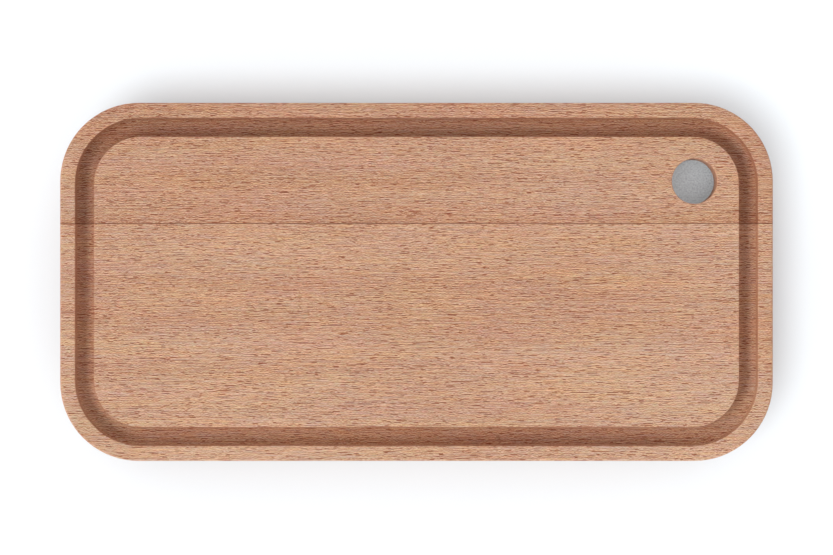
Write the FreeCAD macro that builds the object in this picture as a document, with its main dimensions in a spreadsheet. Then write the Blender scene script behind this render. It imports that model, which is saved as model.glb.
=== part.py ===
import FreeCAD, Part
import math
import os
import re
import Sketcher
from FreeCAD import Rotation, Vector

# Cutting board on a low carcass, with two steel trays that slide out at its ends.
# X runs along the board, +Y to its rear edge, Z up from the surface that the feet stand on.
# Driving sizes in millimetres; a name that ends in share is a part of another size.
SIZES = {
    # Board: two staves glued edge to edge, then machined as one
    "board_length": 400,
    "board_width": 201,
    "board_thickness": 20,
    "corner_radius": 44,
    "board_edge_round": 1.2,
    # Juice groove, cut with a ball-nosed cutter, the drop hole, and the glued seam past the hole
    "rim_width": 8.5,
    "groove_width": 10.5,
    "groove_wall": 2.4,
    "groove_lip": 0.35,
    # How much wider the groove's turns are than turns about the centres of the board's corners
    "groove_turn_gain": 1.4,
    "drop_hole_diameter": 25.4,
    "hole_edge_round": 0.6,
    "hole_to_seam": 11.1,
    # Carcass: rails under the long edges, tied by a stretcher
    "wall_setback": 2,
    "wall_thickness": 16,
    "rail_height": 31,
    "wood_edge_round": 1,
    "stretcher_thickness": 20,
    "stretcher_height": 27,
    "dowel_diameter": 8,
    "dowel_length": 30,
    "dowel_depth": 10,
    "dowel_low_share": 0.24,
    "dowel_high_share": 0.6,
    # Feet
    "foot_diameter": 13,
    "foot_taper": 0.5,
    "foot_height": 5,
    "foot_edge": 0.8,
    "foot_recess": 3,
    "foot_inset": 8,
    # Trays: pans of sheet steel that hang by their flanges in the rails' slots
    "sheet_thickness": 1,
    "pan_depth": 23,
    "pan_inner_radius": 14,
    "floor_bend": 5,
    "rim_bend": 1.2,
    "flange_width": 5.7,
    "inner_flange_width": 4,
    "lug_length": 8,
    "lug_width": 1.5,
    "slot_roof": 3.5,
    # Tray fronts
    "front_tip": 4,
    "finger_groove_length": 84,
    "finger_groove_radius": 8,
    "finger_edge_round": 0.8,
    # Screws and pins
    "large_screw_diameter": 4,
    "large_head_diameter": 8,
    "large_head_height": 3,
    "large_socket_width": 3,
    "rail_screw_length": 32,
    "rail_screw_recess": 8,
    "rail_screw_inset": 5.3,
    "rail_screw_near_share": 0.27,
    "rail_screw_far_share": 0.7,
    "stretcher_screw_length": 30,
    "stretcher_screw_recess": 7,
    "stretcher_screw_share": 0.58,
    "small_screw_diameter": 3,
    "small_head_diameter": 5.2,
    "small_head_height": 1.7,
    "small_socket_width": 2,
    "foot_screw_length": 14,
    "tray_screw_length": 12,
    "tray_screw_share": 0.55,
    "socket_depth_share": 0.6,
    "head_round_share": 0.6,
    "screw_tip_share": 0.3,
    "pin_tip_share": 0.15,
    "stop_pin_diameter": 2.5,
    "stop_pin_recess": 1,
    "stop_pin_inset": 21.15,
    # Clearances
    "pan_clearance": 0.7,
    "slide_clearance": 0.2,
    "lift_clearance": 0.8,
    "end_clearance": 0.5,
    "front_gap": 0.8,
    "ledge_clearance": 0.3,
    "pin_clearance": 0.4,
    "fit_clearance": 0.05,
    "head_clearance": 0.3,
    # How far a cut runs past the face it starts from
    "overrun": 1,
}

# Places worked out from the sizes, as expressions
arc_x = "(board_length / 2 - corner_radius)"
arc_y = "(board_width / 2 - corner_radius)"
board_floor = "(foot_height + rail_height)"
board_top = f"({board_floor} + board_thickness)"
drop_hole_radius = "drop_hole_diameter / 2"
seam_y = f"({arc_y} - {drop_hole_radius} - hole_to_seam)"
groove_x = "(board_length / 2 - rim_width - groove_width / 2)"
groove_y = "(board_width / 2 - rim_width - groove_width / 2)"
groove_turn = "(corner_radius - rim_width - groove_width / 2 + groove_turn_gain)"
wall_x = "(board_length / 2 - wall_setback)"
wall_y = "(board_width / 2 - wall_setback)"
wall_turn = "(corner_radius - wall_setback)"
inside_x = f"({wall_x} - wall_thickness)"
inside_y = f"({wall_y} - wall_thickness)"
inside_turn = f"({wall_turn} - wall_thickness)"
front_start = f"({arc_x} - front_tip)"
rail_end = f"({front_start} - front_gap)"
front_top = f"({board_floor} - front_gap)"
finger_height = f"((foot_height + {front_top}) / 2)"
stretcher_floor = f"({board_floor} - stretcher_height)"
pan_x = f"({inside_x} - pan_clearance)"
pan_y = f"({inside_y} - pan_clearance)"
pan_turn = f"({inside_turn} - pan_clearance)"
flange_x = f"({pan_x} + flange_width)"
flange_y = f"({pan_y} + flange_width)"
flange_turn = f"({pan_turn} + flange_width)"
flange_start = "(stretcher_thickness / 2 + end_clearance)"
pan_start = f"({flange_start} + inner_flange_width)"
slot_top = f"({board_floor} - slot_roof)"
slot_floor = f"({slot_top} - sheet_thickness - slide_clearance - lift_clearance)"
slot_back = f"({flange_y} + lug_width + slide_clearance)"
flange_floor = f"({slot_floor} + slide_clearance)"
flange_top = f"({flange_floor} + sheet_thickness)"
pan_floor = f"({flange_top} - pan_depth)"
lug_end = f"({flange_start} + lug_length)"
stop_x = f"({rail_end} - stop_pin_inset)"
stop_y = f"({flange_y} + pin_clearance + stop_pin_diameter / 2)"
foot_x = f"({rail_end} - foot_inset)"
rail_middle_y = f"({wall_y} - wall_thickness / 2)"
rail_screw_y = f"({wall_y} - rail_screw_inset)"
ledge_middle = f"(({inside_turn} + {flange_turn}) / 2)"

doc = FreeCAD.newDocument("cutting_board_with_drawer_trays")
sheet = doc.addObject("Spreadsheet::Sheet", "sizes")
for row, (name, value) in enumerate(SIZES.items(), 1):
    sheet.set(f"A{row}", name)
    sheet.set(f"B{row}", str(value))
    sheet.setAlias(f"B{row}", name)
doc.recompute()

# Numbers by which a sketch knows an edge's start, end and centre, and its own origin
START, END, CENTRE = range(1, 4)
ORIGIN = (-1, START)
SAME_PLACE = 1e-4
nodes = []


def tied(text):
    """The expression with each size named as a cell of the sheet."""
    return re.sub(r"[a-z_]+", lambda word: f"sizes.{word[0]}" if word[0] in SIZES else word[0], text)


def number(text):
    """What the expression comes to now."""
    return float(sheet.evalExpression(tied(text)))


def bind(item, setting, text):
    """Tie one setting of an object to an expression."""
    item.setExpression(setting, tied(text))


def new_body(label, turned=False):
    """An empty body; a turned one is made in place and then swung half round the Z axis."""
    body = doc.addObject("PartDesign::Body", label)
    body.Label = label
    if turned:
        body.Placement.Rotation = Rotation(Vector(0, 0, 1), 180)
    return body


def origin_part(body, role):
    """One of the body's own origin planes or axes."""
    return next(item for item in body.Origin.OriginFeatures if item.Role == role)


def new_sketch(body, plane, offset="0"):
    """A sketch on an origin plane of the body, moved along the plane's normal."""
    sketch = body.newObject("Sketcher::SketchObject", "outline")
    sketch.AttachmentSupport = [(origin_part(body, plane), "")]
    sketch.MapMode = "FlatFace"
    bind(sketch, "AttachmentOffset.Base.z", offset)
    return sketch


def measure(sketch, kind, text, *points):
    """Add a driving measure to a sketch and tie it to an expression."""
    flat = [part for point in points for part in point]
    index = sketch.addConstraint(Sketcher.Constraint(kind, *flat, number(text)))
    bind(sketch, f"Constraints[{index}]", text)


def place_point(sketch, point, x, y):
    """Hold a point of a sketch at x, y from the sketch's origin."""
    measure(sketch, "DistanceX", x, ORIGIN, point)
    measure(sketch, "DistanceY", y, ORIGIN, point)


def add_line(sketch, start, end):
    """A line between two places given as expressions, not yet held there."""
    first, second = (Vector(number(x), number(y), 0) for x, y in (start, end))
    return sketch.addGeometry(Part.LineSegment(first, second))


def add_arc(sketch, centre, radius, start_angle, end_angle):
    """An anticlockwise arc, not yet held in place; the angles are in quarter turns."""
    circle = Part.Circle(Vector(number(centre[0]), number(centre[1]), 0), Vector(0, 0, 1), number(radius))
    quarter = math.pi / 2
    return sketch.addGeometry(Part.ArcOfCircle(circle, start_angle * quarter, end_angle * quarter))


def polygon(sketch, corners):
    """A closed outline of straight lines through the corners."""
    lines = [add_line(sketch, corner, corners[(i + 1) % len(corners)]) for i, corner in enumerate(corners)]
    for i, line in enumerate(lines):
        sketch.addConstraint(Sketcher.Constraint("Coincident", line, END, lines[(i + 1) % len(lines)], START))
        place_point(sketch, (line, START), *corners[i])


def rectangle(sketch, left, right, low, high, turns=(None, None, None, None)):
    """A rectangle between four sides; turns round its corners, anticlockwise from the low left one."""
    corners = [(left, low), (right, low), (right, high), (left, high)]
    inward = [("+", "+"), ("-", "+"), ("-", "-"), ("+", "-")]
    centres = [(f"({x} {dx} {turn})", f"({y} {dy} {turn})") if turn else (x, y)
               for (x, y), (dx, dy), turn in zip(corners, inward, turns)]
    starts = [(centres[0][0], low), (right, centres[1][1]), (centres[2][0], high), (left, centres[3][1])]
    ends = [(centres[1][0], low), (right, centres[2][1]), (centres[3][0], high), (left, centres[0][1])]
    lines = [add_line(sketch, start, end) for start, end in zip(starts, ends)]
    for i, turn in enumerate(turns):
        before, after = lines[i - 1], lines[i]
        if turn:
            arc = add_arc(sketch, centres[i], turn, i + 2, i + 3)
            sketch.addConstraint(Sketcher.Constraint("Tangent", before, END, arc, START))
            sketch.addConstraint(Sketcher.Constraint("Tangent", arc, END, after, START))
            measure(sketch, "Radius", turn, (arc,))
        else:
            sketch.addConstraint(Sketcher.Constraint("Coincident", before, END, after, START))
    for line, direction in zip(lines, ("Horizontal", "Vertical", "Horizontal", "Vertical")):
        sketch.addConstraint(Sketcher.Constraint(direction, line))
    measure(sketch, "DistanceY", low, ORIGIN, (lines[0], START))
    measure(sketch, "DistanceX", right, ORIGIN, (lines[1], START))
    measure(sketch, "DistanceY", high, ORIGIN, (lines[2], START))
    measure(sketch, "DistanceX", left, ORIGIN, (lines[3], START))
    return lines


def circles(sketch, places, radius):
    """One circle at each place."""
    for x, y in places:
        middle = Vector(number(x), number(y), 0)
        circle = sketch.addGeometry(Part.Circle(middle, Vector(0, 0, 1), number(radius)))
        place_point(sketch, (circle, CENTRE), x, y)
        measure(sketch, "Radius", radius, (circle,))


def hexagons(sketch, places, width):
    """One hexagon at each place, width across its flats."""
    flat, point = f"{width} / 2", f"{width} / sqrt(3)"
    around = [("1", "0"), ("1/2", "1"), ("-1/2", "1"), ("-1", "0"), ("-1/2", "-1"), ("1/2", "-1")]
    for x, y in places:
        polygon(sketch, [(f"{x} + ({dx}) * {point}", f"{y} + ({dy}) * {flat}") for dx, dy in around])


def extrude(body, kind, sketch, length, backwards=False):
    """A Pad along the sketch's normal or a Pocket against it, or backwards the other way."""
    feature = body.newObject(f"PartDesign::{kind}", kind)
    feature.Profile = sketch
    bind(feature, "Length", length)
    feature.Reversed = backwards
    sketch.Visibility = False
    doc.recompute()
    return feature


def cut_holes(body, places, radius, start, depth, upwards=True):
    """Round holes along Z, upwards or downwards from the height where they start."""
    sketch = new_sketch(body, "XY_Plane", start)
    circles(sketch, places, radius)
    return extrude(body, "Pocket", sketch, depth, backwards=upwards)


def edges_where(feature, wanted):
    """Names of the feature's edges that pass the test, which gets the edge and its middle point."""
    names = []
    for index, edge in enumerate(feature.Shape.Edges, 1):
        middle = edge.valueAt((edge.FirstParameter + edge.LastParameter) / 2)
        if wanted(edge, middle):
            names.append(f"Edge{index}")
    return names


def is_level(edge, height):
    """Whether the edge lies flat at this height."""
    box = edge.BoundBox
    return abs(box.ZMin - number(height)) < SAME_PLACE and box.ZLength < SAME_PLACE


def soften(body, feature, names, size, kind="Fillet"):
    """Round or chamfer the named edges of a feature."""
    softened = body.newObject(f"PartDesign::{kind}", kind)
    softened.Base = (feature, names)
    bind(softened, "Radius" if kind == "Fillet" else "Size", size)
    doc.recompute()
    return softened


def mirrored(body, plane):
    """Repeat the whole body on the other side of one of its origin planes."""
    mirror = body.newObject("PartDesign::Mirrored", "Mirrored")
    mirror.TransformMode = "Whole shape"
    mirror.MirrorPlane = (origin_part(body, plane), [""])
    body.Tip = mirror
    doc.recompute()


def both_sides(places):
    """The places and their mirror images across the XZ plane."""
    return places + [(x, f"-{y}") for x, y in places]


def both_ends(places):
    """The places and their mirror images across the YZ plane."""
    return places + [(f"-{x}", y) for x, y in places]


# Places of the fasteners, shared by the screws and by the holes that take them
rail_screw_places = both_ends([
    (f"(rail_screw_near_share * {rail_end})", rail_screw_y),
    (f"(rail_screw_far_share * {rail_end})", rail_screw_y),
])
stretcher_screw_places = both_sides([("0", f"(stretcher_screw_share * {inside_y})")])
foot_places = both_ends([(foot_x, rail_middle_y)])
stop_places = both_ends([(stop_x, stop_y)])
tray_screw_places = both_sides([
    (f"({arc_x} + {ledge_middle})", f"(tray_screw_share * {arc_y})"),
    (f"({arc_x} + {ledge_middle} / sqrt(2))", f"({arc_y} + {ledge_middle} / sqrt(2))"),
])
dowel_places = [
    ("0", f"({stretcher_floor} + dowel_low_share * stretcher_height)"),
    ("0", f"({stretcher_floor} + dowel_high_share * stretcher_height)"),
]
rail_screw_seat = "(foot_height + rail_screw_recess)"
stretcher_screw_seat = f"({stretcher_floor} + stretcher_screw_recess)"
large_hole_radius = "(large_screw_diameter / 2 + fit_clearance)"
large_recess_radius = "(large_head_diameter / 2 + head_clearance)"
small_hole_radius = "(small_screw_diameter / 2 + fit_clearance)"
small_recess_radius = "(small_head_diameter / 2 + head_clearance)"
dowel_hole_radius = "(dowel_diameter / 2 + fit_clearance)"


def make_board_blank():
    """The board as machined: outline, softened edges, juice groove, drop hole and pilot holes."""
    blank = new_body("board_blank")
    sketch = new_sketch(blank, "XY_Plane", board_floor)
    rectangle(sketch, "-board_length / 2", "board_length / 2", "-board_width / 2", "board_width / 2",
              ["corner_radius"] * 4)
    slab = extrude(blank, "Pad", sketch, "board_thickness")
    soften(blank, slab, edges_where(slab, lambda edge, middle: edge.BoundBox.ZLength < SAME_PLACE),
           "board_edge_round")

    path = new_sketch(blank, "XY_Plane", board_top)
    rectangle(path, f"-{groove_x}", groove_x, f"-{groove_y}", groove_y, [groove_turn] * 4)
    section = new_sketch(blank, "XZ_Plane", f"{groove_y} - {groove_turn}")
    draw_groove_section(section)
    doc.recompute()
    groove = blank.newObject("PartDesign::SubtractivePipe", "juice_groove")
    groove.Profile = section
    groove.Spine = (path, [f"Edge{index}" for index in range(1, len(path.Shape.Edges) + 1)])
    doc.recompute()

    below = f"({board_floor} - overrun)"
    hole = cut_holes(blank, [(arc_x, arc_y)], drop_hole_radius, below, "board_thickness + 2 * overrun")
    soften(blank, hole, edges_where(hole, lambda edge, middle: is_drop_hole_rim(edge)), "hole_edge_round")
    rail_screw_end = f"{rail_screw_seat} + rail_screw_length + fit_clearance"
    cut_holes(blank, both_sides(rail_screw_places), large_hole_radius, below, f"{rail_screw_end} - {below}")
    stretcher_screw_end = f"{stretcher_screw_seat} + stretcher_screw_length + fit_clearance"
    cut_holes(blank, stretcher_screw_places, large_hole_radius, below, f"{stretcher_screw_end} - {below}")
    return blank


def is_drop_hole_rim(edge):
    """Whether the edge is one of the drop hole's two rims."""
    curve = edge.Curve
    return isinstance(curve, Part.Circle) and abs(curve.Radius - number(drop_hole_radius)) < SAME_PLACE


def draw_groove_section(sketch):
    """The groove's section on its left run: eased lips, short walls and a half-round bottom."""
    left, right = f"(-{groove_x} - groove_width / 2)", f"(-{groove_x} + groove_width / 2)"
    wall_top = f"({board_top} - groove_lip)"
    wall_low = f"({wall_top} - groove_wall)"
    above = f"({board_top} + overrun)"
    corners = [(right, wall_low), (right, wall_top), (f"({right} + groove_lip)", board_top),
               (f"({right} + groove_lip)", above), (f"({left} - groove_lip)", above),
               (f"({left} - groove_lip)", board_top), (left, wall_top), (left, wall_low)]
    lines = [add_line(sketch, first, second) for first, second in zip(corners, corners[1:])]
    for line, corner in zip(lines, corners):
        place_point(sketch, (line, START), *corner)
    for before, after in zip(lines, lines[1:]):
        sketch.addConstraint(Sketcher.Constraint("Coincident", before, END, after, START))
    place_point(sketch, (lines[-1], END), *corners[-1])
    bottom = add_arc(sketch, (f"-{groove_x}", wall_low), "groove_width / 2", 2, 4)
    sketch.addConstraint(Sketcher.Constraint("Tangent", lines[-1], END, bottom, START))
    sketch.addConstraint(Sketcher.Constraint("Coincident", bottom, END, lines[0], START))


def make_stave(label, blank, low, high):
    """One stave: the stretch of the machined board between its two long edges."""
    box = doc.addObject("Part::Box", f"{label}_stretch")
    bind(box, "Length", "board_length + 2 * overrun")
    bind(box, "Width", f"({high}) - ({low})")
    bind(box, "Height", "board_thickness + 2 * overrun")
    bind(box, "Placement.Base.x", "-board_length / 2 - overrun")
    bind(box, "Placement.Base.y", low)
    bind(box, "Placement.Base.z", f"{board_floor} - overrun")
    stave = doc.addObject("Part::Common", label)
    stave.Label = label
    stave.Base = blank
    stave.Tool = box
    doc.recompute()
    nodes.append(stave)


def make_rail(label, turned):
    """A rail under one long edge, with its runner slot and the holes for what it holds."""
    rail = new_body(label, turned)
    sketch = new_sketch(rail, "XY_Plane", "foot_height")
    rectangle(sketch, f"-{rail_end}", rail_end, inside_y, wall_y)
    bar = extrude(rail, "Pad", sketch, "rail_height")
    outer_low = edges_where(bar, lambda edge, middle: is_level(edge, "foot_height")
                            and abs(middle.y - number(wall_y)) < SAME_PLACE)
    soften(rail, bar, outer_low, "wood_edge_round")
    slot = new_sketch(rail, "YZ_Plane", f"-{rail_end} - overrun")
    rectangle(slot, f"{inside_y} - overrun", slot_back, slot_floor, slot_top)
    extrude(rail, "Pocket", slot, f"2 * ({rail_end} + overrun)", backwards=True)
    underside = "foot_height - overrun"
    cut_holes(rail, rail_screw_places, large_recess_radius, underside, "rail_screw_recess + overrun")
    cut_holes(rail, rail_screw_places, large_hole_radius, underside, "rail_height + 2 * overrun")
    cut_holes(rail, stop_places, "stop_pin_diameter / 2 + fit_clearance", underside,
              f"{slot_top} - foot_height + overrun")
    cut_holes(rail, foot_places, small_hole_radius, underside,
              "foot_recess + foot_screw_length + fit_clearance - foot_height + overrun")
    dowels = new_sketch(rail, "XZ_Plane", f"-({inside_y} - overrun)")
    circles(dowels, dowel_places, dowel_hole_radius)
    extrude(rail, "Pocket", dowels, "dowel_depth + fit_clearance + overrun")
    nodes.append(rail)


def make_stretcher():
    """The cross piece between the rails, with dowel holes in its ends and counterbored screw holes."""
    stretcher = new_body("centre_stretcher")
    sketch = new_sketch(stretcher, "XY_Plane", stretcher_floor)
    rectangle(sketch, "-stretcher_thickness / 2", "stretcher_thickness / 2", f"-{inside_y}", inside_y)
    bar = extrude(stretcher, "Pad", sketch, "stretcher_height")
    long_low = edges_where(bar, lambda edge, middle: is_level(edge, stretcher_floor)
                           and abs(middle.y) < SAME_PLACE)
    soften(stretcher, bar, long_low, "wood_edge_round")
    underside = f"{stretcher_floor} - overrun"
    places = stretcher_screw_places
    cut_holes(stretcher, places, large_recess_radius, underside, "stretcher_screw_recess + overrun")
    cut_holes(stretcher, places, large_hole_radius, underside, "stretcher_height + 2 * overrun")
    dowel_hole_depth = "dowel_length - dowel_depth + fit_clearance + overrun"
    for offset, backwards in ((f"-({inside_y} + overrun)", True), (f"{inside_y} + overrun", False)):
        dowels = new_sketch(stretcher, "XZ_Plane", offset)
        circles(dowels, dowel_places, dowel_hole_radius)
        extrude(stretcher, "Pocket", dowels, dowel_hole_depth, backwards)
    nodes.append(stretcher)


def make_dowels():
    """Two dowels at each end of the stretcher, half in it and half in a rail."""
    dowels = new_body("stretcher_dowels")
    sketch = new_sketch(dowels, "XZ_Plane", f"-({inside_y} + dowel_depth)")
    circles(sketch, dowel_places, "dowel_diameter / 2")
    pins = extrude(dowels, "Pad", sketch, "dowel_length")
    ends = edges_where(pins, lambda edge, middle: isinstance(edge.Curve, Part.Circle))
    soften(dowels, pins, ends, "pin_tip_share * dowel_diameter", kind="Chamfer")
    mirrored(dowels, "XZ_Plane")
    nodes.append(dowels)


def make_screws(label, places, seat, size, length, upwards, turned=False):
    """Socket-headed screws, a solid each: the head lies on its seat and the shank runs up or down from it."""
    screws = new_body(label, turned)
    head_face = f"{seat} {'-' if upwards else '+'} {size}_head_height"
    shank = new_sketch(screws, "XY_Plane", seat)
    circles(shank, places, f"{size}_screw_diameter / 2")
    extrude(screws, "Pad", shank, length, backwards=not upwards)
    head = new_sketch(screws, "XY_Plane", seat)
    circles(head, places, f"{size}_head_diameter / 2")
    blunt = extrude(screws, "Pad", head, f"{size}_head_height", backwards=upwards)
    rounded = soften(screws, blunt, edges_where(blunt, lambda edge, middle: is_level(edge, head_face)),
                     f"head_round_share * {size}_head_height")
    tip = f"{seat} {'+' if upwards else '-'} {length}"
    soften(screws, rounded, edges_where(rounded, lambda edge, middle: is_level(edge, tip)),
           f"screw_tip_share * {size}_screw_diameter", kind="Chamfer")
    socket = new_sketch(screws, "XY_Plane", head_face)
    hexagons(socket, places, f"{size}_socket_width")
    extrude(screws, "Pocket", socket, f"socket_depth_share * {size}_head_height", backwards=upwards)
    nodes.append(screws)


def make_stop_pins():
    """Steel pins that stand across the ends of the runner slots, behind the plain edge of the flange."""
    pins = new_body("stop_pins")
    sketch = new_sketch(pins, "XY_Plane", "foot_height + stop_pin_recess")
    circles(sketch, stop_places, "stop_pin_diameter / 2")
    rods = extrude(pins, "Pad", sketch, f"{slot_top} - slide_clearance - foot_height - stop_pin_recess")
    ends = edges_where(rods, lambda edge, middle: isinstance(edge.Curve, Part.Circle))
    soften(pins, rods, ends, "pin_tip_share * stop_pin_diameter", kind="Chamfer")
    mirrored(pins, "XZ_Plane")
    nodes.append(pins)


def make_foot(label, place):
    """A tapered rubber foot with a recess for the head of its screw."""
    foot = new_body(label)
    sketch = new_sketch(foot, "XZ_Plane")
    polygon(sketch, [
        (small_recess_radius, "0"),
        ("foot_diameter / 2 - foot_edge", "0"),
        ("foot_diameter / 2", "foot_edge"),
        ("foot_diameter / 2 - foot_taper", "foot_height"),
        (small_hole_radius, "foot_height"),
        (small_hole_radius, "foot_recess"),
        (small_recess_radius, "foot_recess"),
    ])
    turning = foot.newObject("PartDesign::Revolution", "Revolution")
    turning.Profile = sketch
    turning.ReferenceAxis = (origin_part(foot, "Z_Axis"), [""])
    bind(foot, "Placement.Base.x", place[0])
    bind(foot, "Placement.Base.y", place[1])
    doc.recompute()
    nodes.append(foot)


def make_pan(label, turned):
    """A pan of sheet steel: walls and floor, a flange all round, and a stop lug at each inner corner."""
    pan = new_body(label, turned)
    tub = new_sketch(pan, "XY_Plane", pan_floor)
    rectangle(tub, pan_start, pan_x, f"-{pan_y}", pan_y,
              ["pan_inner_radius", pan_turn, pan_turn, "pan_inner_radius"])
    extrude(pan, "Pad", tub, "pan_depth")
    flange = new_sketch(pan, "XY_Plane", flange_floor)
    rectangle(flange, flange_start, flange_x, f"-{flange_y}", flange_y,
              [None, flange_turn, flange_turn, None])
    extrude(pan, "Pad", flange, "sheet_thickness")
    lugs = new_sketch(pan, "XY_Plane", flange_floor)
    rectangle(lugs, flange_start, lug_end, f"-{flange_y} - lug_width", f"{flange_y} + lug_width")
    extrude(pan, "Pad", lugs, "sheet_thickness")
    hollow = new_sketch(pan, "XY_Plane", flange_top)
    inner_turn, outer_turn = "(pan_inner_radius - sheet_thickness)", f"({pan_turn} - sheet_thickness)"
    rectangle(hollow, f"({pan_start} + sheet_thickness)", f"({pan_x} - sheet_thickness)",
              f"(-{pan_y} + sheet_thickness)", f"({pan_y} - sheet_thickness)",
              [inner_turn, outer_turn, outer_turn, inner_turn])
    shell = extrude(pan, "Pocket", hollow, "pan_depth - sheet_thickness")
    floor_top = f"{pan_floor} + sheet_thickness"
    inner_floor = edges_where(shell, lambda edge, middle: is_level(edge, floor_top))
    bent_inside = soften(pan, shell, inner_floor, "floor_bend")
    outer_floor = edges_where(bent_inside, lambda edge, middle: is_level(edge, pan_floor))
    bent = soften(pan, bent_inside, outer_floor, "floor_bend + sheet_thickness")
    mouth = edges_where(bent, lambda edge, middle: is_level(edge, flange_top)
                        and number(pan_start) < edge.BoundBox.XMin
                        and edge.BoundBox.XMax < number(pan_x)
                        and number(f"-{pan_y}") < edge.BoundBox.YMin
                        and edge.BoundBox.YMax < number(pan_y))
    soften(pan, bent, mouth, "rim_bend")
    cut_holes(pan, tray_screw_places, small_hole_radius, f"{flange_floor} - overrun",
              "sheet_thickness + 2 * overrun")
    nodes.append(pan)


def make_front(label, turned):
    """A curved front that closes one end: a wall with a ledge for the pan's flange and a finger groove."""
    front = new_body(label, turned)
    cut_start = f"({front_start} - overrun)"
    sketch = new_sketch(front, "XY_Plane", "foot_height")
    rectangle(sketch, front_start, wall_x, f"-{wall_y}", wall_y, [None, wall_turn, wall_turn, None])
    block = extrude(front, "Pad", sketch, f"{front_top} - foot_height")
    outer = edges_where(block, lambda edge, middle: edge.BoundBox.ZLength < SAME_PLACE
                        and middle.x > number(front_start) + SAME_PLACE)
    soften(front, block, outer, "wood_edge_round")
    hollow = new_sketch(front, "XY_Plane", f"{front_top} + overrun")
    rectangle(hollow, cut_start, inside_x, f"-{inside_y}", inside_y, [None, inside_turn, inside_turn, None])
    extrude(front, "Pocket", hollow, f"{front_top} - foot_height + 2 * overrun")
    ledge = new_sketch(front, "XY_Plane", f"{front_top} + overrun")
    ledge_turn = f"({flange_turn} + ledge_clearance)"
    rectangle(ledge, cut_start, f"({flange_x} + ledge_clearance)", f"(-{flange_y} - ledge_clearance)",
              f"({flange_y} + ledge_clearance)", [None, ledge_turn, ledge_turn, None])
    extrude(front, "Pocket", ledge, f"{front_top} + overrun - {flange_floor}")
    grip = cut_finger_groove(front)
    half_length = number("finger_groove_length / 2") + SAME_PLACE
    half_height = number("finger_groove_radius") + SAME_PLACE
    mouth = edges_where(grip, lambda edge, middle: abs(middle.x - number(wall_x)) < SAME_PLACE
                        and abs(middle.y) < half_length
                        and abs(middle.z - number(finger_height)) < half_height)
    soften(front, grip, mouth, "finger_edge_round")
    cut_holes(front, tray_screw_places, small_hole_radius, f"{flange_floor} + overrun",
              "tray_screw_length + overrun", upwards=False)
    nodes.append(front)


def cut_finger_groove(front):
    """A half-round groove with ball ends in the outer face, at half the front's height."""
    sketch = new_sketch(front, "XY_Plane", finger_height)
    reach = "finger_groove_length / 2"
    straight = f"({reach} - finger_groove_radius)"
    deep = f"({wall_x} - finger_groove_radius)"
    axis = add_line(sketch, (wall_x, f"-{reach}"), (wall_x, reach))
    floor = add_line(sketch, (deep, straight), (deep, f"-{straight}"))
    place_point(sketch, (axis, START), wall_x, f"-{reach}")
    place_point(sketch, (axis, END), wall_x, reach)
    place_point(sketch, (floor, START), deep, straight)
    place_point(sketch, (floor, END), deep, f"-{straight}")
    for centre, start_angle, before, after in ((straight, 1, axis, floor), (f"-{straight}", 2, floor, axis)):
        arc = add_arc(sketch, (wall_x, centre), "finger_groove_radius", start_angle, start_angle + 1)
        sketch.addConstraint(Sketcher.Constraint("Coincident", before, END, arc, START))
        sketch.addConstraint(Sketcher.Constraint("Coincident", arc, END, after, START))
        measure(sketch, "Radius", "finger_groove_radius", (arc,))
    groove = front.newObject("PartDesign::Groove", "Groove")
    groove.Profile = sketch
    groove.ReferenceAxis = (sketch, [f"Edge{axis + 1}"])
    doc.recompute()
    return groove


board_blank = make_board_blank()
make_stave("board_rear_stave", board_blank, seam_y, "board_width / 2 + overrun")
make_stave("board_front_stave", board_blank, "-board_width / 2 - overrun", seam_y)
make_rail("rear_rail", turned=False)
make_rail("front_rail", turned=True)
make_stretcher()
make_dowels()
make_screws("rail_screws", both_sides(rail_screw_places), rail_screw_seat, "large", "rail_screw_length",
            upwards=True)
make_screws("stretcher_screws", stretcher_screw_places, stretcher_screw_seat, "large",
            "stretcher_screw_length", upwards=True)
make_stop_pins()
make_foot("foot_rear_right", (foot_x, rail_middle_y))
make_foot("foot_rear_left", (f"-{foot_x}", rail_middle_y))
make_foot("foot_front_right", (foot_x, f"-{rail_middle_y}"))
make_foot("foot_front_left", (f"-{foot_x}", f"-{rail_middle_y}"))
make_screws("foot_screws", both_sides(foot_places), "foot_recess", "small", "foot_screw_length", upwards=True)
for side, is_turned in (("right", False), ("left", True)):
    make_pan(f"{side}_tray_pan", is_turned)
    make_front(f"{side}_tray_front", is_turned)
    make_screws(f"{side}_tray_screws", tray_screw_places, flange_top, "small", "tray_screw_length",
                upwards=False, turned=is_turned)

doc.recompute()
faults = [item.Label for item in doc.Objects if {"Invalid", "Error"} & set(item.State)]
faults += [item.Label for item in nodes if item.Shape.isNull() or not item.Shape.isValid()]
if faults:
    raise RuntimeError(f"not sound: {', '.join(faults)}")
os.makedirs("parts", exist_ok=True)
for item in nodes:
    item.Shape.exportStep(f"parts/{item.Label}.step")
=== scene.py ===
import math

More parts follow.
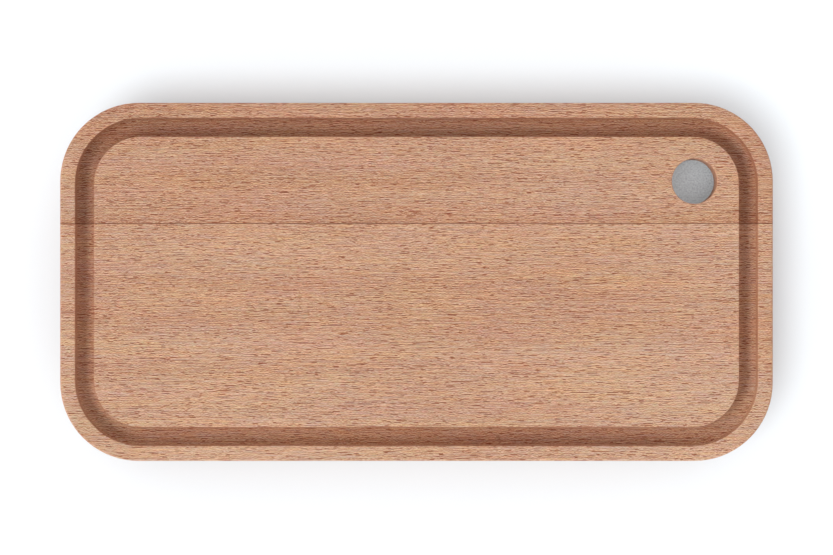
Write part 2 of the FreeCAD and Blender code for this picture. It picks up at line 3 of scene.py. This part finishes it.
import bpy
from mathutils import Color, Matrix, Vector


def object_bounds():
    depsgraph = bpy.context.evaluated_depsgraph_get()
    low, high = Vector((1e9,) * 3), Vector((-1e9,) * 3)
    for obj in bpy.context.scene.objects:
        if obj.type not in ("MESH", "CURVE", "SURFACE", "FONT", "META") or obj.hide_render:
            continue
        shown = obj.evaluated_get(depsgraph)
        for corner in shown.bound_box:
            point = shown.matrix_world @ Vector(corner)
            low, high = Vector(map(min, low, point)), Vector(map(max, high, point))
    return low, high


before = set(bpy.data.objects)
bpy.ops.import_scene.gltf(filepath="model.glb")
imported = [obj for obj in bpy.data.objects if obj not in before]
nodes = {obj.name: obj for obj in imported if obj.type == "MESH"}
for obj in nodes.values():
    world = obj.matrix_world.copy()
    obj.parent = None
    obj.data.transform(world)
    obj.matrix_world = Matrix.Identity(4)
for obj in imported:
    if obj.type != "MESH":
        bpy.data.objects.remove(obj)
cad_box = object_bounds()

# The row frame is in metres, and materials work in millimetres of that frame at rest
MM_PER_METRE = 1000.0
MM = 1.0 / MM_PER_METRE
# Display values end at this white, and raw noise and colour ramps go from 0 to 1 through this middle
DISPLAY_WHITE = 255
MIDDLE = 0.5
# Noise around 0 seldom goes further than this to either side
NOISE_REACH = 0.3


def colour(red, green, blue):
    """A colour given in display values from 0 to 255, as the linear values that shaders take."""
    shown = Color([value / DISPLAY_WHITE for value in (red, green, blue)])
    return (*shown.from_srgb_to_scene_linear(), 1.0)


class Graph:
    """A node tree, with short ways to add nodes and to join them."""

    def __init__(self, tree):
        self.tree = tree
        self.tree.nodes.clear()

    def add(self, kind, inputs=(), **settings):
        """A node with its settings, and its inputs set to numbers or joined to other nodes' outputs."""
        node = self.tree.nodes.new(kind)
        for name, value in settings.items():
            setattr(node, name, value)
        for key, value in dict(inputs).items():
            if isinstance(value, bpy.types.NodeSocket):
                self.tree.links.new(value, node.inputs[key])
            else:
                node.inputs[key].default_value = value
        return node

    def math(self, operation, first, second=0.0, third=0.0, clamp=False):
        """One sum on numbers."""
        inputs = {0: first, 1: second, 2: third}
        return self.add("ShaderNodeMath", inputs, operation=operation, use_clamp=clamp).outputs[0]

    def vector(self, operation, first, second=(0.0, 0.0, 0.0), third=(0.0, 0.0, 0.0)):
        """One sum on vectors."""
        inputs = {0: first, 1: second, 2: third}
        return self.add("ShaderNodeVectorMath", inputs, operation=operation).outputs[0]

    def length(self, vector):
        """A vector's length."""
        return self.add("ShaderNodeVectorMath", {0: vector}, operation="LENGTH").outputs["Value"]

    def split(self, vector):
        """A vector's three numbers."""
        return self.add("ShaderNodeSeparateXYZ", {0: vector}).outputs

    def join(self, x, y, z):
        """Three numbers as a vector."""
        return self.add("ShaderNodeCombineXYZ", {0: x, 1: y, 2: z}).outputs[0]

    def ease(self, value, low, high, start=0.0, end=1.0):
        """Goes smoothly from start to end as value goes from low to high."""
        inputs = {"Value": value, "From Min": low, "From Max": high, "To Min": start, "To Max": end}
        return self.add("ShaderNodeMapRange", inputs, interpolation_type="SMOOTHSTEP").outputs[0]

    def noise(self, place, sizes=(1.0, 1.0, 1.0), detail=0.0, start=None):
        """Smooth noise around 0 whose lumps have these sizes along X, Y and Z, read from its own start."""
        moved = self.vector("ADD", place, start) if start else place
        inputs = {"Vector": self.vector("DIVIDE", moved, sizes), "Scale": 1.0, "Detail": detail}
        return self.math("SUBTRACT", self.add("ShaderNodeTexNoise", inputs).outputs[0], MIDDLE)

    def layers(self, place, layers, total=0.0):
        """A number with layers of noise added to it."""
        for settings, amount in layers:
            total = self.math("MULTIPLY_ADD", self.noise(place, **settings), amount, total)
        return total

    def ramp(self, value, shades):
        """Colours laid evenly along a number from 0 to 1."""
        node = self.add("ShaderNodeValToRGB", {0: value})
        elements = node.color_ramp.elements
        last = len(shades) - 1
        elements[0].color = shades[0]
        elements[1].color = shades[last]
        for step in range(1, last):
            elements.new(step / last).color = shades[step]
        return node.outputs[0]

    def mix(self, share, first, second, blend="MIX"):
        """Two colours mixed by a share from 0 to 1."""
        inputs = {0: share, 6: first, 7: second}
        return self.add("ShaderNodeMix", inputs, data_type="RGBA", blend_type=blend).outputs[2]

    def show(self, shader, kind="ShaderNodeOutputMaterial"):
        """Makes a shader the tree's surface."""
        self.add(kind, {"Surface": shader.outputs[0]})


def new_material(name):
    """An empty material and its graph."""
    material = bpy.data.materials.new(name)
    material.use_nodes = True
    return material, Graph(material.node_tree)


def place_in_mm(graph):
    """The place on the piece at rest, in millimetres of the row frame."""
    coordinates = graph.add("ShaderNodeTexCoord").outputs["Object"]
    return graph.add("ShaderNodeVectorMath", {0: coordinates, 3: MM_PER_METRE}, operation="SCALE").outputs[0]


def finish_surface(graph, height, height_mm, **inputs):
    """The principled shader with fine relief, as the material's surface."""
    bump = graph.add("ShaderNodeBump", {"Height": height, "Strength": 1.0, "Distance": height_mm * MM})
    named = {key.replace("_", " "): value for key, value in inputs.items()}
    graph.show(graph.add("ShaderNodeBsdfPrincipled", {**named, "Normal": bump.outputs[0]}))


# Board geometry that the wood's colour follows, in millimetres
BOARD_HALF_LENGTH, BOARD_HALF_WIDTH, BOARD_TOP_Z = (edge * MM_PER_METRE for edge in cad_box[1])
BOARD_THICKNESS = 20.0
RIM_WIDTH = 8.5
GROOVE_HALF_WIDTH = 5.25
GROOVE_TURN = 31.65
GROOVE_LIP = 0.35
GROOVE_TURN_INSET = RIM_WIDTH + GROOVE_HALF_WIDTH + GROOVE_TURN
GROOVE_ARC_X = BOARD_HALF_LENGTH - GROOVE_TURN_INSET
GROOVE_ARC_Y = BOARD_HALF_WIDTH - GROOVE_TURN_INSET
REAR_STAVE_WIDTH = 67.8
SEAM_Y = BOARD_HALF_WIDTH - REAR_STAVE_WIDTH
# The glue line is whole up to the first distance from the seam and ends at the second
SEAM_CORE, SEAM_END = 0.14, 0.42

# Beech: its middle colour, how fast red, green and blue fall as it darkens, and the range of its tones
BEECH_MIDDLE = colour(201.5, 155.5, 125.0)
BEECH_FALL = (0.30, 0.59, 0.75)
DARK_PULL, LIGHT_PULL = 1.20, 0.84
DARKEST, LIGHTEST = -2.6, 1.0
TONE_STEPS = 12
# How red, green and blue change as the wood drifts from pink to yellow and from red to green
DRIFT_TINT = (0.68, 0.45, -0.58)
HUE_TINT = (-0.68, 0.68, -0.28)
# Layers of noise, in millimetres along the fibres, beside them and above them, and how much each adds
CLOUD_LAYERS = (
    ({"sizes": (420.0, 11.0, 22.0)}, 0.42),
    ({"sizes": (150.0, 55.0, 55.0)}, 0.48),
)
DRIFT_LAYERS = (
    ({"sizes": (9.0, 0.7, 0.7), "start": (31.0, 17.0, 23.0)}, 0.38),
    ({"sizes": (70.0, 12.0, 12.0), "start": (13.0, 71.0, 3.0), "detail": 1.0}, 0.20),
)
HUE_LAYERS = (
    ({"sizes": (3.5, 0.5, 0.5), "start": (57.0, 5.0, 11.0)}, 0.26),
    ({"sizes": (60.0, 9.0, 9.0), "start": (5.0, 37.0, 61.0)}, 0.08),
)
# Fibres: their lengths and thicknesses in millimetres, and how much they change the tone
FIBRES = (
    (0.6, 0.41, 4.20),
    (1.5, 0.38, 2.30),
    (4.5, 0.43, 1.80),
    (13.0, 0.44, 1.75),
    (45.0, 0.47, 1.40),
)
# Dark flecks: their size and depth, the noise at which they begin and are whole, and their light edges
FLECK_LENGTH, FLECK_THICKNESS, FLECK_DEPTH = 4.5, 0.50, -2.35
FLECK_ONSET, FLECK_WHOLE, FLECK_HALO = 0.20, 0.25, 0.12
FLECK_RELIEF = -0.01
# The fibres' sides lie at an angle to the board's faces, and each fibre starts at its own place in the noise
FIBRE_TURN = math.radians(14.0)
FIBRE_STEP_BESIDE, FIBRE_STEP_ABOVE = 7.31, 5.17
# The fibres sway sideways and up over these lengths, by the noise times this many millimetres
SWAY_SIZES, SWAY = (220.0, 60.0, 60.0), 4.0
# A dark fibre has lighter ones beside it
NEIGHBOUR_SHARE = 0.80
# Facings at which an end begins and is whole, and from which a face along the fibres is upright
END_FACING = (0.20, 0.80)
SIDE_FACING = 0.6
# The groove's floor shows the same fibres as the board's face above it, but its steep walls don't
GROOVE_FACING = (0.30, 0.50)
# Ends: what they keep of the fibres, their shade, and their rings and rays in millimetres and radians
END_FIBRE_SHARE = 0.35
END_SHADE = -0.22
RING_WIDTH, RING_WAVER, RING_CONTRAST = 2.4, 3.0, 1.0
RING_WAVER_SIZES, RING_DETAIL = (60.0, 9.0, 9.0), 1.0
RAY_LENGTH, RAY_ANGLE, RAY_CONTRAST = 3.5, 0.006, 0.70
# The tree's heart, beside and above the row frame's origin, for pieces that name no other
PITH = (0.0, -60.0)
# Painted shade that darkens the board's groove on each stave, the dark glue line on its seam, and how far the
# tone change beside the seam reaches
REAR_GROOVE_PAINTED_SHADE = (0.785, 0.70, 0.665, 1.0)
FRONT_GROOVE_PAINTED_SHADE = (0.89, 0.82, 0.79, 1.0)
SEAM_TINT = (0.48, 0.37, 0.33, 1.0)
SEAM_SHADE_REACH = 7.0
# Painted light: the board's right half is painted lighter, by this tone for each millimetre
RIGHT_PAINTED_LIGHT_SLOPE = 0.0008
# Painted light and shade near the board's edges: how far from the edge each begins and is whole, and its
# amount
EDGE_PAINTED_LIGHT = {
    "left": (9.5, 6.5, 0.14),
    "right": (20.0, 15.0, -0.13),
    "front": (9.5, 6.5, 0.13),
    "rear": (40.5, 8.5, -0.24),
}
# Painted shade in the groove's front run: how far from the front edge it begins and is whole, and its amount
FRONT_RUN_START, FRONT_RUN_WHOLE, FRONT_RUN_PAINTED_SHADE = 22.5, 17.5, -0.22
# The oiled wood's roughness where it is darkest and lightest, and its gloss
WOOD_ROUGHNESS = (0.66, 0.52)
WOOD_GLOSS = 0.3


def groove_mask(graph, x, y, z):
    """1 in the juice groove, 0 elsewhere."""
    over_x = graph.math("SUBTRACT", graph.math("ABSOLUTE", x), GROOVE_ARC_X)
    over_y = graph.math("SUBTRACT", graph.math("ABSOLUTE", y), GROOVE_ARC_Y)
    past_x = graph.math("MAXIMUM", over_x, 0.0)
    past_y = graph.math("MAXIMUM", over_y, 0.0)
    outside = graph.length(graph.join(past_x, past_y, 0.0))
    inside = graph.math("MINIMUM", graph.math("MAXIMUM", over_x, over_y), 0.0)
    from_line = graph.math("SUBTRACT", graph.math("ADD", outside, inside), GROOVE_TURN)
    off_line = graph.math("ABSOLUTE", from_line)
    near = graph.ease(off_line, GROOVE_HALF_WIDTH, GROOVE_HALF_WIDTH + GROOVE_LIP, 1.0, 0.0)
    above = graph.math("GREATER_THAN", z, BOARD_TOP_Z - BOARD_THICKNESS / 2)
    return graph.math("MULTIPLY", near, above)


def facings(graph, across):
    """How far the surface cuts across the fibres, whether it is upright along them, and how it faces up."""
    normal = graph.split(graph.add("ShaderNodeTexCoord").outputs["Normal"])
    end, side = (normal[1], normal[0]) if across else (normal[0], normal[1])
    cut = graph.ease(graph.math("ABSOLUTE", end), *END_FACING)
    upright = graph.math("GREATER_THAN", graph.math("ABSOLUTE", side), SIDE_FACING)
    return cut, upright, normal[2]


def turned_fibres(graph, grain):
    """The place among the fibres, which sway a little and whose sides are turned."""
    sway = graph.math("MULTIPLY", graph.noise(grain, SWAY_SIZES), SWAY)
    inputs = {"Vector": graph.vector("ADD", grain, graph.join(0.0, sway, sway)), "Angle": FIBRE_TURN}
    return graph.add("ShaderNodeVectorRotate", inputs, rotation_type="X_AXIS").outputs[0]


def step_to_next(graph, upright):
    """The step in the noise to the next fibre on a face: the one beside, or above it on an upright face."""
    beside = graph.math("MULTIPLY_ADD", upright, -FIBRE_STEP_BESIDE, FIBRE_STEP_BESIDE)
    return graph.join(0.0, beside, graph.math("MULTIPLY", upright, FIBRE_STEP_ABOVE))


def fibre_noises(graph, fibres, length, thickness, to_next, reach=0):
    """Noise around 0 along a fibre and those up to reach steps away, less a share of their neighbours'."""
    cells = graph.vector("FLOOR", graph.vector("MULTIPLY", fibres, (0.0, 1.0 / thickness, 1.0 / thickness)))
    along = graph.vector("MULTIPLY", fibres, (1.0 / length, 0.0, 0.0))
    starts = graph.vector("MULTIPLY", cells, (0.0, FIBRE_STEP_BESIDE, FIBRE_STEP_ABOVE))
    spots = [graph.vector("ADD", starts, along)]
    for _ in range(reach + 1):
        spots.insert(0, graph.vector("SUBTRACT", spots[0], to_next))
        spots.append(graph.vector("ADD", spots[-1], to_next))
    noises = [graph.noise(spot) for spot in spots]
    return [graph.math("MULTIPLY_ADD", graph.math("ADD", before, after), -NEIGHBOUR_SHARE / 2, own)
            for before, own, after in zip(noises, noises[1:], noises[2:])]


def dark_flecks(graph, fibres, to_next):
    """1 in a dark fleck, a little below 0 in the light edges beside it, and 0 elsewhere."""
    noises = fibre_noises(graph, fibres, FLECK_LENGTH, FLECK_THICKNESS, to_next, reach=1)
    before, own, after = (graph.ease(noise, FLECK_ONSET, FLECK_WHOLE) for noise in noises)
    return graph.math("MULTIPLY_ADD", graph.math("ADD", before, after), -FLECK_HALO, own)


def end_tone(graph, lengthwise, pith):
    """The tone of an end: growth rings round the pith, and rays that run out from it."""
    beside, above = graph.split(lengthwise)[1:]
    from_pith = (graph.math("SUBTRACT", beside, pith[0]), graph.math("SUBTRACT", above, pith[1]))
    waver = graph.noise(lengthwise, RING_WAVER_SIZES)
    radius = graph.math("MULTIPLY_ADD", waver, RING_WAVER, graph.length(graph.join(0.0, *from_pith)))
    angle = graph.math("ARCTAN2", *from_pith)
    rings = graph.noise(graph.join(radius, 0.0, 0.0), (RING_WIDTH, 1.0, 1.0), RING_DETAIL)
    rays = graph.noise(graph.join(radius, angle, 0.0), (RAY_LENGTH, RAY_ANGLE, 1.0))
    tone = graph.math("MULTIPLY_ADD", rings, RING_CONTRAST, END_SHADE)
    return graph.math("MULTIPLY_ADD", rays, RAY_CONTRAST, tone)


def board_tone_with_painted_light(graph, tone, x, y, groove):
    """The tone with painted light and shade: lighter to the right, lighter or darker near each edge, and
    darker in the groove's front run.
    """
    tone = graph.math("MULTIPLY_ADD", graph.math("MAXIMUM", x, 0.0), RIGHT_PAINTED_LIGHT_SLOPE, tone)
    from_edges = {
        "left": graph.math("ADD", x, BOARD_HALF_LENGTH),
        "right": graph.math("SUBTRACT", BOARD_HALF_LENGTH, x),
        "front": graph.math("ADD", y, BOARD_HALF_WIDTH),
        "rear": graph.math("SUBTRACT", BOARD_HALF_WIDTH, y),
    }
    for edge, (start, whole, amount) in EDGE_PAINTED_LIGHT.items():
        tone = graph.math("ADD", tone, graph.ease(from_edges[edge], start, whole, 0.0, amount))
    front_run_painted_shade = graph.ease(from_edges["front"], FRONT_RUN_START, FRONT_RUN_WHOLE, 0.0, FRONT_RUN_PAINTED_SHADE)
    return graph.math("MULTIPLY_ADD", groove, front_run_painted_shade, tone)


def beech_shade(tone):
    """The wood's colour at a tone, which is 0 in the middle and below 0 where it is dark."""
    pull = tone * (DARK_PULL if tone < 0 else LIGHT_PULL)
    return tuple(value * math.exp(pull * fall) for value, fall in zip(BEECH_MIDDLE, BEECH_FALL)) + (1.0,)


def wood_colour(graph, tone, grain):
    """The wood's colour for a tone, with its drifts of colour."""
    span = LIGHTEST - DARKEST
    level = graph.math("MULTIPLY_ADD", tone, 1.0 / span, -DARKEST / span)
    shades = [beech_shade(DARKEST + span * step / TONE_STEPS) for step in range(TONE_STEPS + 1)]
    factor = (1.0, 1.0, 1.0)
    for layers, tint in ((DRIFT_LAYERS, DRIFT_TINT), (HUE_LAYERS, HUE_TINT)):
        factor = graph.vector("MULTIPLY_ADD", graph.layers(grain, layers), tint, factor)
    return graph.vector("MULTIPLY", graph.ramp(level, shades), factor)


def beech(name, shift, across=False, lightness=0.0, pith=PITH, groove_painted_shade=None, seam_shade=0.0):
    """Oiled beech: dark flecks and fine streaks along the fibres, slow broad bands, and rings on its ends."""
    material, graph = new_material(name)
    x, y, z = graph.split(place_in_mm(graph))
    cut, upright, up = facings(graph, across)
    if groove_painted_shade:
        groove = groove_mask(graph, x, y, z)
        flat = graph.math("MULTIPLY", groove, graph.ease(up, *GROOVE_FACING))
        not_flat = graph.math("SUBTRACT", 1.0, flat)
        cut = graph.math("MULTIPLY", cut, not_flat)
        upright = graph.math("MULTIPLY", upright, not_flat)
        z = graph.math("MULTIPLY_ADD", flat, graph.math("SUBTRACT", BOARD_TOP_Z, z), z)
    lengthwise = graph.join(y, x, z) if across else graph.join(x, y, z)
    grain = graph.vector("ADD", lengthwise, shift)
    fibres = turned_fibres(graph, grain)
    to_next = step_to_next(graph, upright)
    flecks = dark_flecks(graph, fibres, to_next)
    tone = graph.math("MULTIPLY", flecks, FLECK_DEPTH)
    for length, thickness, amount in FIBRES:
        streaks = fibre_noises(graph, fibres, length, thickness, to_next)[0]
        tone = graph.math("MULTIPLY_ADD", streaks, amount, tone)
    tone = graph.math("MULTIPLY", tone, graph.math("MULTIPLY_ADD", cut, END_FIBRE_SHARE - 1.0, 1.0))
    tone = graph.math("MULTIPLY_ADD", cut, end_tone(graph, lengthwise, pith), tone)
    tone = graph.layers(grain, CLOUD_LAYERS, graph.math("ADD", tone, lightness))
    if groove_painted_shade:
        # Painted light and shade on the board's right half, its edges and the groove's front run
        tone = board_tone_with_painted_light(graph, tone, x, y, groove)
        from_seam = graph.math("ABSOLUTE", graph.math("SUBTRACT", y, SEAM_Y))
        tone = graph.math("ADD", tone, graph.ease(from_seam, 0.0, SEAM_SHADE_REACH, seam_shade, 0.0))
    shade = wood_colour(graph, tone, grain)
    if groove_painted_shade:
        seam = graph.ease(from_seam, SEAM_CORE, SEAM_END, 1.0, 0.0)
        # The groove is darkened by painted shade, multiplied into its colour
        shade = graph.mix(groove, shade, groove_painted_shade, blend="MULTIPLY")
        shade = graph.mix(seam, shade, SEAM_TINT, blend="MULTIPLY")
    roughness = graph.ease(tone, DARKEST, LIGHTEST, *WOOD_ROUGHNESS)
    finish_surface(graph, flecks, FLECK_RELIEF, Base_Color=shade, Roughness=roughness,
                   Specular_IOR_Level=WOOD_GLOSS)
    return material


# Satin steel: its noises in millimetres, how much they change its tone, and its colours and finish
SATIN_GRAIN = {"sizes": (14.0, 0.22, 0.22), "detail": 1.0}
SATIN_SPECKLE = {"sizes": (0.9, 0.9, 0.9), "start": (7.0, 5.0, 3.0), "detail": 1.0}
SATIN_CLOUD = {"sizes": (35.0, 35.0, 35.0), "start": (1.0, 8.0, 2.0), "detail": 1.0}
SATIN_LAYERS = ((SATIN_SPECKLE, 1.1), (SATIN_CLOUD, 0.3))
SATIN_SHADES = ((0.28, 0.288, 0.295, 1.0), (0.57, 0.585, 0.60, 1.0))
SATIN_ROUGHNESS = (0.50, 0.60)
SATIN_RELIEF, SPECKLE_RELIEF_SHARE = 0.004, 0.5


def satin_steel(name):
    """Stainless sheet with a fine satin grain along X and a faint speckle."""
    material, graph = new_material(name)
    place = place_in_mm(graph)
    grain = graph.noise(place, **SATIN_GRAIN)
    shade = graph.ramp(graph.layers(place, SATIN_LAYERS, MIDDLE), SATIN_SHADES)
    roughness = graph.ease(grain, -NOISE_REACH, NOISE_REACH, *SATIN_ROUGHNESS)
    relief = graph.layers(place, ((SATIN_SPECKLE, SPECKLE_RELIEF_SHARE),), grain)
    finish_surface(graph, relief, SATIN_RELIEF, Base_Color=shade, Roughness=roughness, Metallic=1.0)
    return material


# Zinc-plated steel: its noises in millimetres, how much its patches show, and its colours and finish
ZINC_MARKS = {"sizes": (0.5, 0.5, 0.12), "detail": 1.0}
ZINC_PATCHES = {"sizes": (2.5, 2.5, 2.5), "start": (4.0, 1.0, 6.0), "detail": 1.0}
ZINC_CONTRAST = 0.8
ZINC_SHADES = ((0.42, 0.43, 0.45, 1.0), (0.62, 0.62, 0.63, 1.0))
ZINC_ROUGHNESS = (0.20, 0.38)
ZINC_RELIEF = 0.006


def screw_steel(name):
    """Bright zinc-plated steel with faint turning marks and dull patches."""
    material, graph = new_material(name)
    place = place_in_mm(graph)
    marks = graph.noise(place, **ZINC_MARKS)
    patches = graph.noise(place, **ZINC_PATCHES)
    shade = graph.ramp(graph.math("MULTIPLY_ADD", patches, ZINC_CONTRAST, MIDDLE), ZINC_SHADES)
    roughness = graph.ease(patches, -NOISE_REACH, NOISE_REACH, *ZINC_ROUGHNESS)
    finish_surface(graph, marks, ZINC_RELIEF, Base_Color=shade, Roughness=roughness, Metallic=1.0)
    return material


# Rubber: its noises in millimetres, how much its dust shows, and its colours and finish
RUBBER_GRAIN = {"sizes": (0.35, 0.35, 0.35), "detail": 2.0}
RUBBER_DUST = {"sizes": (4.0, 4.0, 4.0), "start": (2.0, 6.0, 4.0), "detail": 2.0}
RUBBER_CONTRAST = 1.2
RUBBER_SHADES = (colour(36, 36, 37), colour(62, 61, 60))
RUBBER_ROUGHNESS = (0.70, 0.88)
RUBBER_RELIEF = 0.03
RUBBER_GLOSS = 0.35


def rubber(name):
    """Matt black rubber with a moulded grain and a trace of dust."""
    material, graph = new_material(name)
    place = place_in_mm(graph)
    grain = graph.noise(place, **RUBBER_GRAIN)
    dust = graph.noise(place, **RUBBER_DUST)
    shade = graph.ramp(graph.math("MULTIPLY_ADD", dust, RUBBER_CONTRAST, MIDDLE), RUBBER_SHADES)
    roughness = graph.ease(grain, -NOISE_REACH, NOISE_REACH, *RUBBER_ROUGHNESS)
    finish_surface(graph, grain, RUBBER_RELIEF, Base_Color=shade, Roughness=roughness,
                   Specular_IOR_Level=RUBBER_GLOSS)
    return material


# Each wooden piece is cut from its own place in the wood, which its shift gives in millimetres
WOODS = {
    "board_rear_stave": beech("beech_rear_stave", shift=(0.0, 0.0, 0.0), lightness=-0.18, pith=(66.0, -35.0),
                              groove_painted_shade=REAR_GROOVE_PAINTED_SHADE, seam_shade=-0.22),
    "board_front_stave": beech("beech_front_stave", shift=(630.0, 210.0, 90.0), lightness=-0.075,
                               pith=(-34.0, 175.0), groove_painted_shade=FRONT_GROOVE_PAINTED_SHADE, seam_shade=0.10),
    "rear_rail": beech("beech_rear_rail", shift=(1250.0, 40.0, 310.0)),
    "front_rail": beech("beech_front_rail", shift=(1900.0, 350.0, 150.0)),
    "centre_stretcher": beech("beech_stretcher", shift=(2400.0, 120.0, 420.0), across=True),
    "stretcher_dowels": beech("beech_dowels", shift=(2900.0, 500.0, 60.0), across=True, lightness=0.05),
    "left_tray_front": beech("beech_left_front", shift=(3300.0, 700.0, 220.0), across=True),
    "right_tray_front": beech("beech_right_front", shift=(3800.0, 900.0, 380.0), across=True),
}
pans = [node for name, node in nodes.items() if name.endswith("_pan")]
tray_steel = satin_steel("tray_steel")
fastener_steel = screw_steel("screw_steel")
foot_rubber = rubber("foot_rubber")
for node_name, node in nodes.items():
    if node in pans:
        finish = tray_steel
    elif node_name.endswith(("_screws", "_pins")):
        finish = fastener_steel
    elif node_name.startswith("foot_"):
        finish = foot_rubber
    else:
        finish = WOODS[node_name]
    node.data.materials.clear()
    node.data.materials.append(finish)

# Floor, light and camera, in metres
# The floor as it looks, a little cool against the wood's warm glow, and as it throws light back on the object
FLOOR_SEEN = (0.775, 0.818, 0.852, 1.0)
FLOOR_GLOW = (0.37, 0.37, 0.37, 1.0)
FLOOR_HALF = 6.0
# The sky's light from straight above, and what it gains towards its sides
SKY_OVERHEAD, SKY_SIDEWAYS = 0.15, 1.65
SKY_COLOUR = (1.0, 1.0, 1.0, 1.0)
# Where lamps shine from: overhead, the studio's front left, and low at the left for the object's key light
OVERHEAD = (0.0, 0.0, 1.0)
FRONT_LEFT = (-0.26, -0.22, 1.0)
LOW_LEFT = (-0.92, -0.48, 1.0)
# The camera's film width and lens in millimetres, how far it sees, and its place
FILM_WIDTH, LENS, SIGHT = 36.0, 130.2, 50.0
CAMERA_PLACE = (0.0, 0.00245, 1.746)


def add_object(name, data):
    """A new object in the scene."""
    made = bpy.data.objects.new(name, data)
    bpy.context.scene.collection.objects.link(made)
    return made


def seen_directly(graph):
    """1 for what the camera, a shiny surface or a clear one sees, 0 for light on its way."""
    rays = graph.add("ShaderNodeLightPath").outputs
    seen = graph.math("MAXIMUM", rays["Is Camera Ray"], rays["Is Glossy Ray"])
    return graph.math("MAXIMUM", seen, rays["Is Transmission Ray"])


def make_floor():
    """A plain white floor."""
    mesh = bpy.data.meshes.new("floor")
    corners = [(x * FLOOR_HALF, y * FLOOR_HALF, 0.0) for x, y in ((-1, -1), (1, -1), (1, 1), (-1, 1))]
    mesh.from_pydata(corners, [], [(0, 1, 2, 3)])
    floor = add_object("floor", mesh)
    material, graph = new_material("floor_white")
    shade = graph.mix(seen_directly(graph), FLOOR_GLOW, FLOOR_SEEN)
    graph.show(graph.add("ShaderNodeBsdfDiffuse", {"Color": shade}))
    mesh.materials.append(material)
    return floor


def make_world():
    """A sky that is brighter towards its sides, and that the camera and shiny pieces see as white."""
    world = bpy.data.worlds.new("studio")
    bpy.context.scene.world = world
    world.use_nodes = True
    graph = Graph(world.node_tree)
    up = graph.split(graph.add("ShaderNodeTexCoord").outputs["Generated"])[2]
    lowness = graph.math("SUBTRACT", 1.0, up, clamp=True)
    level = graph.math("MULTIPLY_ADD", lowness, SKY_SIDEWAYS, SKY_OVERHEAD)
    strength = graph.math("MAXIMUM", level, seen_directly(graph))
    sky = graph.add("ShaderNodeBackground", {"Color": SKY_COLOUR, "Strength": strength})
    graph.show(sky, "ShaderNodeOutputWorld")


def make_group(name, members):
    """A collection of objects that a lamp lights or that shade it."""
    group = bpy.data.collections.new(name)
    for member in members:
        group.objects.link(member)
    return group


def make_lamp(name, direction, softness, level, receivers, blockers=None):
    """A soft distant lamp, some degrees wide, that adds a level to what faces up, on its receivers only."""
    away = Vector(direction).normalized()
    lamp = bpy.data.lights.new(name, "SUN")
    lamp.angle = math.radians(softness)
    lamp.energy = level * math.pi / away.z
    holder = add_object(name, lamp)
    holder.rotation_mode = "QUATERNION"
    holder.rotation_quaternion = away.to_track_quat("Z", "Y")
    holder.light_linking.receiver_collection = make_group(f"{name}_lights", receivers)
    if blockers:
        holder.light_linking.blocker_collection = make_group(f"{name}_shades", blockers)


def make_camera():
    """Straight down from above, through a long lens."""
    lens = bpy.data.cameras.new("camera")
    lens.sensor_width = FILM_WIDTH
    lens.lens = LENS
    lens.clip_end = SIGHT
    camera = add_object("camera", lens)
    camera.location = CAMERA_PLACE
    bpy.context.scene.camera = camera


bpy.context.scene.view_settings.view_transform = "Standard"
floor = make_floor()
make_world()
make_lamp("key", LOW_LEFT, softness=26.0, level=0.30, receivers=nodes.values())
make_lamp("floor_lamp", FRONT_LEFT, softness=25.0, level=0.38, receivers=[floor])
make_lamp("floor_fill", OVERHEAD, softness=90.0, level=0.36, receivers=[floor])
make_lamp("tray_lamp", FRONT_LEFT, softness=25.0, level=0.25, receivers=pans)
make_lamp("tray_fill", OVERHEAD, softness=60.0, level=0.463, receivers=pans, blockers=pans)
make_camera()
